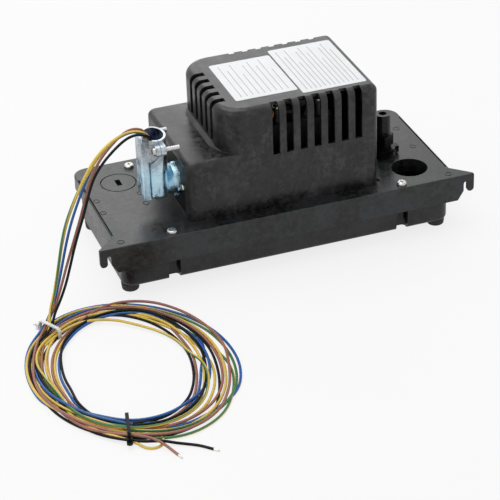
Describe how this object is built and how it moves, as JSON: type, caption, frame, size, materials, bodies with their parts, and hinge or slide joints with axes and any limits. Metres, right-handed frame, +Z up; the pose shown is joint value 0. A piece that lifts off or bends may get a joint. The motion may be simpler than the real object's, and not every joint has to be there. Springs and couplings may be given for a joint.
{
  "type": "condensate pump",
  "caption": "Low-profile condensate pump: flanged tank and hooked lid, vented motor cover, clamp elbow with free leads in a coil, upright outlet and float switch.",
  "frame": {"origin": "on the floor, below the middle of the lid", "axes": "+X along the long side, from the wiring elbow to the outlet; +Y to the back; +Z up; the front flange with the hooked ears faces -Y"},
  "size_m": [0.404, 0.3547, 0.1385],
  "materials": {
    "tank_plastic": "moulded, fine texture",
    "lid_plastic": "moulded, fine texture",
    "cover_plastic": "moulded, fine texture",
    "foot_rubber": "matt",
    "gasket_rubber": "matt",
    "screw_steel": "bright plated",
    "plug_plastic": "moulded, fine texture",
    "panel_metal": "black satin",
    "zinc": "blue-white zinc",
    "bushing_plastic": "dark blue",
    "lamination_steel": "stacked sheets",
    "bobbin_plastic": "natural",
    "copper": "enamelled wire under tape",
    "bracket_steel": "bright",
    "bronze": "sintered",
    "rotor_metal": "ground",
    "shaft_steel": "ground",
    "fan_plastic": "moulded",
    "pump_plastic": "moulded",
    "valve_plastic": "moulded",
    "spigot_plastic": "moulded",
    "float_plastic": "natural",
    "switch_plastic": "moulded",
    "button_plastic": "moulded",
    "insulation_yellow": "smooth sleeve",
    "insulation_blue": "smooth sleeve",
    "insulation_brown": "smooth sleeve",
    "insulation_black": "smooth sleeve",
    "insulation_green": "smooth sleeve with a stripe",
    "tie_white": "smooth",
    "tie_black": "smooth"
  },
  "bodies": {
    "base": {"tank": "tank_plastic", "rubber_feet": "foot_rubber", "tank_gasket": "gasket_rubber", "lid": "lid_plastic", "lid_screws": "screw_steel", "motor_cover": "cover_plastic", "cover_screws": "screw_steel", "wiring_panel": "panel_metal", "panel_screws": "screw_steel", "elbow_body": "zinc", "elbow_clamp": "zinc", "clamp_screws": "screw_steel", "locknut": "zinc", "wire_bushing": "bushing_plastic", "stator_stack": "lamination_steel", "coil_bobbin": "bobbin_plastic", "motor_winding": "copper", "upper_bracket": "bracket_steel", "lower_bracket": "bracket_steel", "upper_bearing": "bronze", "lower_bearing": "bronze", "motor_bolts": "screw_steel", "volute": "pump_plastic", "intake_cover": "pump_plastic", "volute_screws": "screw_steel", "shaft_bush": "bronze", "discharge_tube": "pump_plastic", "valve_body": "valve_plastic", "valve_seal": "gasket_rubber", "discharge_spigot": "spigot_plastic", "lever_pin": "screw_steel", "switch_bracket": "bracket_steel", "run_switch": "switch_plastic", "overflow_switch": "switch_plastic", "switch_spacers": "bracket_steel", "switch_screws": "screw_steel", "wire_coil": "insulation_blue", "white_tie": "tie_white", "black_tie": "tie_black", "inner_lead": "insulation_yellow", "wire_yellow": "insulation_yellow", "wire_blue": "insulation_blue", "wire_brown": "insulation_brown", "wire_black": "insulation_black", "wire_green": "insulation_green", "tail_black": "insulation_black", "tail_brown": "insulation_brown"},
    "rotor_unit": {"rotor": "rotor_metal", "motor_shaft": "shaft_steel", "cooling_fan": "fan_plastic", "impeller": "pump_plastic"},
    "float_unit": {"float_body": "float_plastic", "float_rod": "float_plastic"},
    "lever_unit": {"switch_lever": "bracket_steel"},
    "run_button_unit": {"run_button": "button_plastic"},
    "overflow_button_unit": {"overflow_button": "button_plastic"},
    "poppet_unit": {"valve_poppet": "valve_plastic"},
    "plug_unit": {"inlet_plug": "plug_plastic", "plug_seal": "gasket_rubber"},
    "clip_unit": {"valve_clip": "valve_plastic"}
  },
  "joints": [
    {"name": "rotor_spin", "type": "hinge", "parent": "base", "child": "rotor_unit", "pos_m": [0.024, 0, 0.095], "axis": [0, 0, 1], "continuous": true},
    {"name": "float_rise", "type": "slide", "parent": "base", "child": "float_unit", "axis": [0, 0, 1], "range_m": [0, 0.012]},
    {"name": "lever_turn", "type": "hinge", "parent": "base", "child": "lever_unit", "pos_m": [-0.06, -0.012, 0.06305], "axis": [1, 0, 0], "range_deg": [0, 20.6]},
    {"name": "run_press", "type": "slide", "parent": "base", "child": "run_button_unit", "axis": [0, 0, 1], "range_m": [0, 0.0021]},
    {"name": "overflow_press", "type": "slide", "parent": "base", "child": "overflow_button_unit", "axis": [0, 0, 1], "range_m": [0, 0.0013]},
    {"name": "poppet_lift", "type": "slide", "parent": "base", "child": "poppet_unit", "axis": [0, 0, 1], "range_m": [0, 0.003]},
    {"name": "plug_pull", "type": "slide", "parent": "base", "child": "plug_unit", "axis": [0, 0, 1], "range_m": [0, 0.016]},
    {"name": "clip_pull", "type": "slide", "parent": "base", "child": "clip_unit", "axis": [1, 0, 0], "range_m": [0, 0.012]}
  ],
  "couplings": [
    {"joint": "lever_turn", "follows": "float_rise", "rad_per_m": 29.8},
    {"joint": "run_press", "follows": "float_rise", "ratio": 0.17},
    {"joint": "overflow_press", "follows": "float_rise", "ratio": 0.1}
  ]
}
